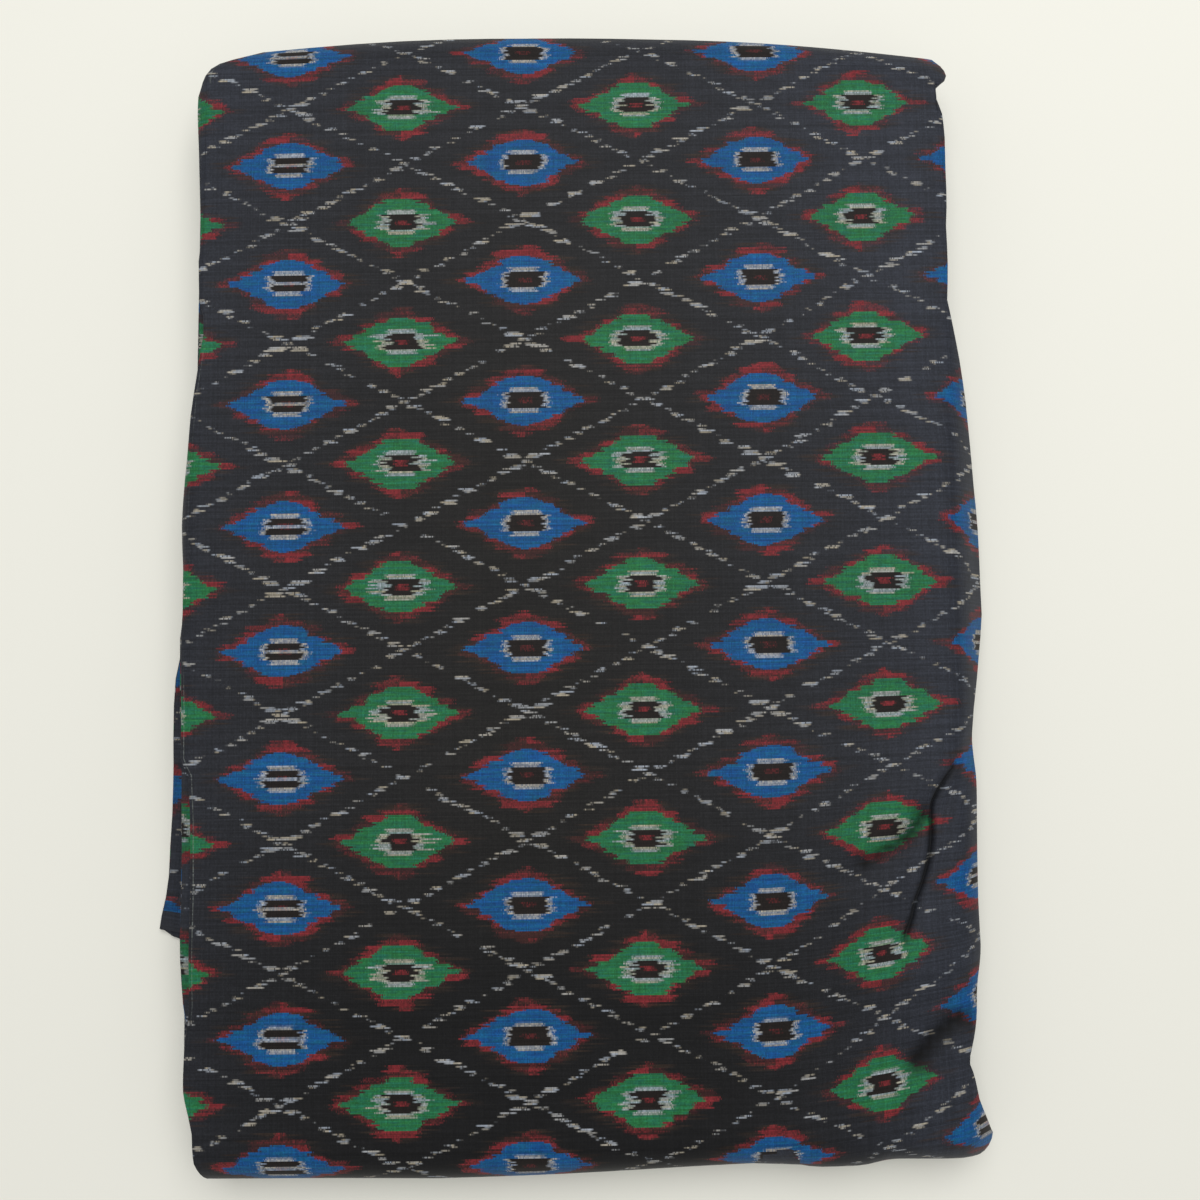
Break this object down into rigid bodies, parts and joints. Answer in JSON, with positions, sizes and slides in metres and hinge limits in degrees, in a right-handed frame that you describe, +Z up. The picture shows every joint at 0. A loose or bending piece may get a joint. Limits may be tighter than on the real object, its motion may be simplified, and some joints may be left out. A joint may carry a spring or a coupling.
{
  "type": "folded ikat cloth",
  "caption": "long dark ikat cloth with a diamond pattern, folded lengthwise and then back and forth into a flat rectangular bundle",
  "frame": {"origin": "under the middle of the bundle, on the surface it lies on", "axes": "+Y along the bundle to its bowed far end, +X to its right side seen from above, +Z up"},
  "size_m": [0.3044, 0.4244, 0.0287],
  "materials": {
    "ikat_weave": "plain weave with a soft sheen, dyed in blue, green, red and white diamonds on near-black"
  },
  "bodies": {
    "root": {"cloth": "ikat_weave"}
  },
  "joints": []
}
